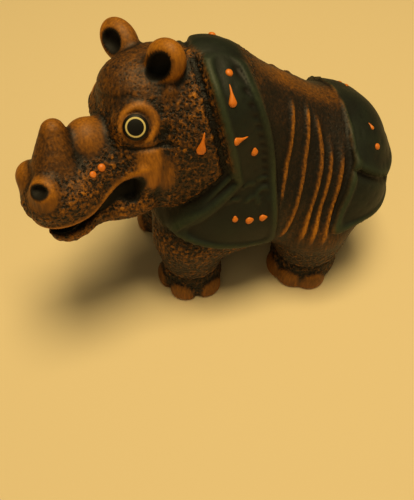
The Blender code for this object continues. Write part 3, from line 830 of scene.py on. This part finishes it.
def eye_enamel(colours, radius):
    # Enamel brushed on in rings round a black pupil: a soft sheen and a sharp pale ring.
    material, tree, shader = new_material("enamel_painted_eye")
    place = add_node(tree, "ShaderNodeTexCoord").outputs["Object"]
    flat = add_node(tree, "ShaderNodeVectorMath", {"operation": "MULTIPLY"}, {
        0: place, 1: (1.0, 1.0, 0.0),
    })
    away = add_node(tree, "ShaderNodeVectorMath", {"operation": "LENGTH"}, {0: flat}).outputs["Value"]
    pale = None
    pupil_edge, ring_edge, blur = 0.64 * radius, 0.77 * radius, 0.02 * radius
    for edge, low, high in ((pupil_edge, -blur, blur), (ring_edge, blur, -blur)):
        step = add_node(tree, "ShaderNodeMapRange", {"interpolation_type": "SMOOTHSTEP"}, {
            "Value": away, "From Min": edge + low, "From Max": edge + high,
        })
        pale = step if pale is None else add_node(
            tree, "ShaderNodeMath", {"operation": "MULTIPLY"}, {0: pale, 1: step})
    colour = add_node(tree, "ShaderNodeMixRGB", None, {0: pale, 1: colours.eye_black, 2: colours.eye_cream})
    tree.links.new(colour.outputs[0], shader.inputs["Base Color"])
    shader.inputs["Roughness"].default_value = 0.5
    shader.inputs["Specular IOR Level"].default_value = 0.25
    return material


def link(name, data):
    piece = bpy.data.objects.new(name, data)
    bpy.context.scene.collection.objects.link(piece)
    return piece


def link_bmesh(name, mesh, material):
    """Links a finished bmesh as a smooth piece of one material."""
    data = bpy.data.meshes.new(name)
    mesh.to_mesh(data)
    mesh.free()
    data.shade_smooth()
    data.materials.append(material)
    return link(name, data)


def to_row(points, sizes):
    """Grid steps as metres in the row's frame."""
    step = sizes.figure_length / GRID_STEPS
    return np.asarray(points, float) * step + np.array([*sizes.hump_place, 0.0])


def from_row(points, sizes):
    step = sizes.figure_length / GRID_STEPS
    return (np.asarray(points, float) - np.array([*sizes.hump_place, 0.0])) / step


def fine_skin_mesh(sizes):
    """The solid's mesh, remeshed finely."""
    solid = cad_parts[NODE]
    rough = link("rough_skin", solid.data.copy())
    rough.matrix_world = solid.matrix_world
    remesh = rough.modifiers.new("fine skin", "REMESH")
    remesh.mode = "VOXEL"
    remesh.voxel_size = sizes.skin_voxel
    bpy.context.view_layer.update()
    seen = rough.evaluated_get(bpy.context.evaluated_depsgraph_get())
    mesh = bpy.data.meshes.new_from_object(seen)
    mesh.transform(rough.matrix_world)
    bpy.data.objects.remove(rough)
    return mesh


class Hide:
    """How rough the hide is and how much orange was brushed on, place by place."""

    def __init__(self, figure, points):
        self.figure = figure
        self.points = points
        self.forward, self.left, self.up = head_places(points)
        self.side = np.abs(self.left)
        self.on_head = ramp(2.5 - self.head_distance(), 3.0)

    def head_distance(self):
        nearest = np.full(len(self.points), 99.0)
        for mass in self.figure.head_masses():
            nearest = np.minimum(nearest, mass.distance(self.points))
        return nearest

    def near(self, mass, reach, softness):
        """1 inside the mass and up to reach outside it."""
        return ramp(reach - mass.distance(self.points), softness)

    def around_eyes(self):
        found = np.zeros(len(self.points))
        for _, socket, way in EYES:
            aside, along = away_from_axis(self.points, np.asarray(socket) + LID_SHIFT, way)
            found = np.maximum(found, ramp(6.3 - aside, 1.4) * ramp(along - 1.0, 3.0))
        return found

    def cheeks(self):
        away = np.hypot((self.forward - 11.5) / 5.2, (self.up + 7.5) / 9.0)
        return ramp(1.05 - away, 0.8) * ramp(self.side - 9.0, 3.0)

    def noses(self):
        away = np.sqrt((self.forward - 42) ** 2 + (self.side - 5.4) ** 2 + (self.up + 2.4) ** 2)
        return ramp(6.3 - away, 2.4)

    def smooth(self):
        """Where the hide is smooth: lips, eyelids, cheeks, nostrils, horns, ears and nails."""
        figure = self.figure
        front_horn, rear_horn = figure.horns()
        found = np.maximum.reduce([
            self.around_eyes(), self.cheeks(), self.noses(), figure.lip_band(self.points),
            self.near(rear_horn, 1.5, 2.5), self.near(front_horn, 1.0, 2.5) * 0.85,
            figure.nail_cover(self.points), figure.mouth_and_cups(self.points),
        ])
        for ear in figure.ears():
            found = np.maximum(found, self.near(ear, 1.5, 2.0))
        return found

    def roughness(self):
        """How deep the hide's grain is: deepest on the ruff, finer on the crown and the barrel."""
        x, z = self.points[:, 0], self.points[:, 2]
        crown = ramp(self.up - 9.0, 8.0) * self.on_head
        barrel = ramp(x - 14.0, 4.0) * ramp(z - 24.0, 8.0)
        found = 1.0 - 0.70 * crown - 0.80 * barrel
        return np.clip(found, 0.0, 1.0) * (1.0 - self.smooth())

    def brushing(self):
        """How much orange was brushed on."""
        figure, points = self.figure, self.points
        x, y, z = points.T
        spine = ramp(5.5 - np.abs(y), 7.0) * ramp(z - 40.0, 6.0)
        belly = ramp(44.0 - z, 14.0) * ramp(z - 24.0, 6.0)
        barrel = ramp(x - 15.0, 3.0) * ramp(z - 24.0, 6.0)
        legs = ramp(26.0 - z, 6.0)
        base = 0.32 + self.on_head * 0.08
        base = base + (0.10 - base) * barrel + barrel * (0.46 * spine + 0.24 * belly)
        base = base + (0.19 - base) * legs
        front_horn, rear_horn = figure.horns()
        found = np.maximum.reduce([
            base, figure.rib_bands(points) ** 1.6 * 0.55 + base, self.around_eyes() * 0.80,
            self.cheeks() * 0.82, self.noses() * 0.72, figure.lip_band(points) * 0.85,
            self.near(rear_horn, 1.0, 2.5) * 0.80, self.near(front_horn, 1.0, 2.0) * 0.46,
            figure.nail_cover(points) * 0.58,
        ])
        for ear in figure.ears():
            found = np.maximum(found, self.near(ear, 1.0, 1.5) * 0.70)
        return np.clip(found, 0.0, 1.0)


class RHINO_OT_skin(bpy.types.Operator):
    """Sculpts the figure's skin and paints it."""

    bl_idname = "rhino.skin"
    bl_label = "Skin"

    def execute(self, context):
        sizes = context.scene.rhinoceros_sizes
        figure = Figure(sizes)
        mesh = fine_skin_mesh(sizes)
        net = Net(mesh)
        net.points = from_row(net.points, sizes)
        draw_onto(net, figure.form, DRAWING_ROUNDS)
        points = net.points.copy()
        hide = Hide(figure, points)
        cover = np.maximum(figure.plate_cover(points), figure.collar(points)[0])
        rough = hide.roughness() * (1 - cover)
        cobbles = pebbles(points, sizes.pebble_size / figure.step)
        lift = (cobbles - 0.5) * rough * sizes.pebble_height / figure.step
        lift[points[:, 2] < FLAT_SOLE_BAND] = 0.0
        net.points = net.points + net.normals() * lift[:, None]
        net.points[:, 2] = np.maximum(net.points[:, 2], 0.0)
        net.points = to_row(net.points, sizes)
        net.store()
        self.add_curvature(net, sizes.skin_voxel)
        net.add_mask("green", cover)
        net.add_mask("rim", figure.rims(points))
        net.add_mask("pebble", cobbles * rough)
        net.add_mask("rough", rough)
        net.add_mask("brush", hide.brushing())
        # Painted shade inside the mouth, the ear cups and the nostrils, less of it low in the mouth
        net.add_mask("painted_shade", figure.mouth_and_cups(points))
        mesh.shade_smooth()
        mesh.materials.clear()
        mesh.materials.append(washed_terracotta(context.scene.rhinoceros_colours))
        skin = link("clay_rhinoceros", mesh)
        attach(skin, "root")
        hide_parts(NODE)
        return {"FINISHED"}

    @staticmethod
    def add_curvature(net, spacing):
        """Masks of what stands proud and what lies in a hollow."""
        normals = net.normals()
        bend = np.sum((net.neighbour_mean(net.points) - net.points) * normals, axis=1) / spacing
        for _ in range(2):
            bend = 0.5 * bend + 0.5 * net.neighbour_mean(bend)
        wide = bend.copy()
        for _ in range(14):
            wide = net.neighbour_mean(wide)
        bend = bend + wide * 1.5
        # Lightens what stands proud: where dry-brushing catches, and painted highlight
        net.add_mask("raised", np.clip(-bend / FULL_BEND, 0.0, 1.0))
        # Deepens the paint in hollows, narrow and broad: painted shade, with the washed paint that settles
        # there
        net.add_mask("hollow", np.clip(bend / FULL_BEND, 0.0, 1.0))


def skin_tree(context):
    return BVHTree.FromObject(bpy.data.objects["clay_rhinoceros"], context.evaluated_depsgraph_get())


class RHINO_OT_eyes(bpy.types.Operator):
    """Sets the two painted eyes in their sockets."""

    bl_idname = "rhino.eyes"
    bl_label = "Eyes"

    def execute(self, context):
        sizes = context.scene.rhinoceros_sizes
        radius = sizes.eye_diameter / 2
        material = eye_enamel(context.scene.rhinoceros_colours, radius)
        tree = skin_tree(context)
        for name, socket, look in EYES:
            way = Vector(head_way(*look))
            far = Vector(to_row(head(*socket), sizes)) + way * EYE_RAY_START
            place, _, _, _ = tree.ray_cast(far, -way)
            if place is None:
                raise RuntimeError("the eye finds no socket")
            eye = link_bmesh(f"eye_{name}", self.dome(radius), material)
            eye.matrix_world = Matrix.Translation(place) @ way.to_track_quat("Z", "Y").to_matrix().to_4x4()
            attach(eye, "root")
        return {"FINISHED"}

    @staticmethod
    def dome(radius):
        """A flat dome with a shallow step round it, closed below."""
        mesh = bmesh.new()
        rings = []
        turns = 56
        crown, step, depth = 0.26, 0.055, 0.20
        shares = (0.12, 0.3, 0.45, 0.6, 0.70, 0.77, 0.85, 0.94, 1.0, 1.0, 0.6)
        for index, share in enumerate(shares):
            height = crown * math.sqrt(max(1.0 - 0.96 * share * share, 0.0)) - step * (share > 0.8)
            if index >= len(shares) - 2:
                height = -depth
            ring = []
            for turn in range(turns):
                angle = 2 * math.pi * turn / turns
                ring.append(mesh.verts.new((
                    radius * share * math.cos(angle), radius * share * math.sin(angle), radius * height,
                )))
            rings.append(ring)
        top = mesh.verts.new((0, 0, radius * crown))
        bottom = mesh.verts.new((0, 0, -radius * depth))
        for turn in range(turns):
            after = (turn + 1) % turns
            mesh.faces.new((top, rings[0][turn], rings[0][after]))
            mesh.faces.new((bottom, rings[-1][after], rings[-1][turn]))
            for inner, outer in zip(rings, rings[1:]):
                mesh.faces.new((inner[turn], outer[turn], outer[after], inner[after]))
        return mesh


class RHINO_OT_slip_dots(bpy.types.Operator):
    """Trails the raised dots and drops of slip onto the plates, neck and muzzle."""

    bl_idname = "rhino.slip_dots"
    bl_label = "Slip dots"

    # Each mark: its place, its tail's bearing from 0 to the rear to 90 up, the tail's length, its scale
    body_marks = (
        ((4.6, -10.4, 92.1), 0, 0.0, 1.0), ((3.3, -16.8, 85.7), 88, 4.0, 1.1),
        ((3.3, -21.9, 75.7), 5, 2.7, 1.05), ((9.6, -21.7, 69.4), 90, 0.4, 1.05),
        ((2.5, -28.0, 46.8), 90, 0.4, 0.85), ((7.3, -28.3, 45.2), 0, 0.3, 1.1),
        ((12.0, -28.0, 45.0), 0, 0.4, 1.05), ((-6.7, -20.4, 73.6), 80, 3.9, 1.25),
        ((54.6, -11.3, 60.2), 120, 1.2, 0.7), ((54.5, -16.7, 56.4), 0, 0.0, 0.95),
    )
    muzzle_marks = ((24.6, 9.6, -2.0), (27.8, 9.8, -2.3))

    def execute(self, context):
        sizes = context.scene.rhinoceros_sizes
        material = trailed_slip(context.scene.rhinoceros_colours)
        tree = skin_tree(context)
        marks = []
        for side in (1.0, -1.0):
            for (x, y, z), bearing, tail, scale in self.body_marks:
                marks.append((to_row((x, side * y, z), sizes), bearing, tail, scale))
            for count, (forward, left, up) in enumerate(self.muzzle_marks):
                marks.append((to_row(head(forward, side * left, up), sizes), 0, 0.0, 1.0 - 0.12 * count))
        for count, (place, bearing, tail, scale) in enumerate(marks):
            mesh = self.mark(tree, Vector(place), bearing, tail, scale, sizes)
            dot = link_bmesh(f"slip_dot_{count:02d}", mesh, material)
            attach(dot, "root")
        return {"FINISHED"}

    @staticmethod
    def mark(tree, place, bearing, tail, scale, sizes):
        """A rounded dot with a tail, laid on the skin nearest to the place."""
        middle, normal, _, _ = tree.find_nearest(place)
        step = sizes.figure_length / GRID_STEPS
        rearward = (Vector((1, 0, 0)) - normal * normal.x).normalized()
        upward = normal.cross(rearward)
        upward = upward if upward.z > 0 else -upward
        turn = math.radians(bearing)
        tail_way = rearward * math.cos(turn) + upward * math.sin(turn)
        side_way = normal.cross(tail_way)
        radius = sizes.dot_radius * scale
        mesh = bmesh.new()
        bmesh.ops.create_uvsphere(mesh, u_segments=20, v_segments=12, radius=1.0)
        for vertex in mesh.verts:
            ahead, across, above = vertex.co
            share = max(ahead, 0.0) ** 1.3 if tail else 0.0
            reach = radius * ahead + tail * step * share
            thin = 1.0 - 0.62 * min(1.0, share * 2.2) * min(tail, 1.0)
            at = middle + tail_way * reach + side_way * radius * across * thin
            hit, _, _, _ = tree.ray_cast(at + normal * DOT_RAY_START, -normal, DOT_RAY_LENGTH)
            base = hit if hit is not None else at
            vertex.co = base + normal * sizes.dot_height * scale * above * (1.0 - 0.4 * share)
        return mesh


class RHINO_OT_stage(bpy.types.Operator):
    """Lays the floor, sets the lights and places the camera."""

    bl_idname = "rhino.stage"
    bl_label = "Stage"

    def execute(self, context):
        self.floor(context.scene.rhinoceros_colours)
        self.lights(context)
        self.camera(context)
        return {"FINISHED"}

    @staticmethod
    def floor(colours):
        # A board painted matt: pale and even, with no shine.
        material, _, shader = new_material("painted_board_matt")
        shader.inputs["Base Color"].default_value = colours.floor
        shader.inputs["Roughness"].default_value = 0.85
        mesh = bmesh.new()
        bmesh.ops.create_grid(mesh, x_segments=2, y_segments=2, size=3.0)
        link_bmesh("floor", mesh, material)

    @staticmethod
    def lights(context):
        centre = Vector((0.0, 0.0, 0.045))
        # Each light: name, place, size in metres, power in watts, colour
        for name, place, size, power, colour in (
            ("key", (0.05, 0.0, 0.96), 0.42, 8.3, (1.0, 0.79, 0.39)),
            ("fill", (-0.55, -0.75, 0.75), 0.9, 0.9, (1.0, 0.81, 0.42)),
            ("side", (0.70, -0.45, 0.50), 0.6, 0.5, (1.0, 0.81, 0.42)),
        ):
            data = bpy.data.lights.new(name, "AREA")
            data.size = size
            data.energy = power
            data.color = colour
            lamp = link(name, data)
            lamp.location = place
            lamp.rotation_euler = (centre - Vector(place)).to_track_quat("-Z", "Y").to_euler()
        world = bpy.data.worlds.new("soft room")
        world.use_nodes = True
        sky = world.node_tree.nodes["Background"]
        sky.inputs["Color"].default_value = (1.0, 0.83, 0.50, 1.0)
        sky.inputs["Strength"].default_value = 0.05
        context.scene.world = world
        context.scene.view_settings.view_transform = "Standard"

    @staticmethod
    def camera(context):
        """A camera that looks steeply down on the figure's left side."""
        pitch = math.radians(CAMERA_PITCH)
        turn = math.radians(CAMERA_TURN)
        data = bpy.data.cameras.new("camera")
        data.sensor_width = SENSOR_WIDTH
        data.lens = CAMERA_LENS
        camera = link("camera", data)
        camera.location = CAMERA_PLACE
        way = Vector((math.sin(turn) * math.cos(pitch), math.cos(turn) * math.cos(pitch), -math.sin(pitch)))
        camera.rotation_euler = way.to_track_quat("-Z", "Y").to_euler()
        context.scene.camera = camera


class RHINO_PT_panel(bpy.types.Panel):
    """Lists the steps that make the figurine, with its sizes and colours."""

    bl_label = "Rhinoceros"
    bl_idname = "RHINO_PT_panel"
    bl_space_type = "VIEW_3D"
    bl_region_type = "UI"
    bl_category = "Rhinoceros"

    def draw(self, context):
        for operator in OPERATORS:
            self.layout.operator(operator.bl_idname)
        for group in (context.scene.rhinoceros_sizes, context.scene.rhinoceros_colours):
            box = self.layout.box()
            for name in group.__annotations__:
                box.prop(group, name)


OPERATORS = (RHINO_OT_skin, RHINO_OT_eyes, RHINO_OT_slip_dots, RHINO_OT_stage)
CLASSES = (RhinocerosSizes, RhinocerosColours, *OPERATORS, RHINO_PT_panel)


def register():
    for cls in CLASSES:
        bpy.utils.register_class(cls)
    bpy.types.Scene.rhinoceros_sizes = PointerProperty(type=RhinocerosSizes)
    bpy.types.Scene.rhinoceros_colours = PointerProperty(type=RhinocerosColours)


def unregister():
    del bpy.types.Scene.rhinoceros_colours
    del bpy.types.Scene.rhinoceros_sizes
    for cls in reversed(CLASSES):
        bpy.utils.unregister_class(cls)


def main():
    register()
    bpy.ops.rhino.skin()
    bpy.ops.rhino.eyes()
    bpy.ops.rhino.slip_dots()
    bpy.ops.rhino.stage()


if __name__ == "__main__":
    main()
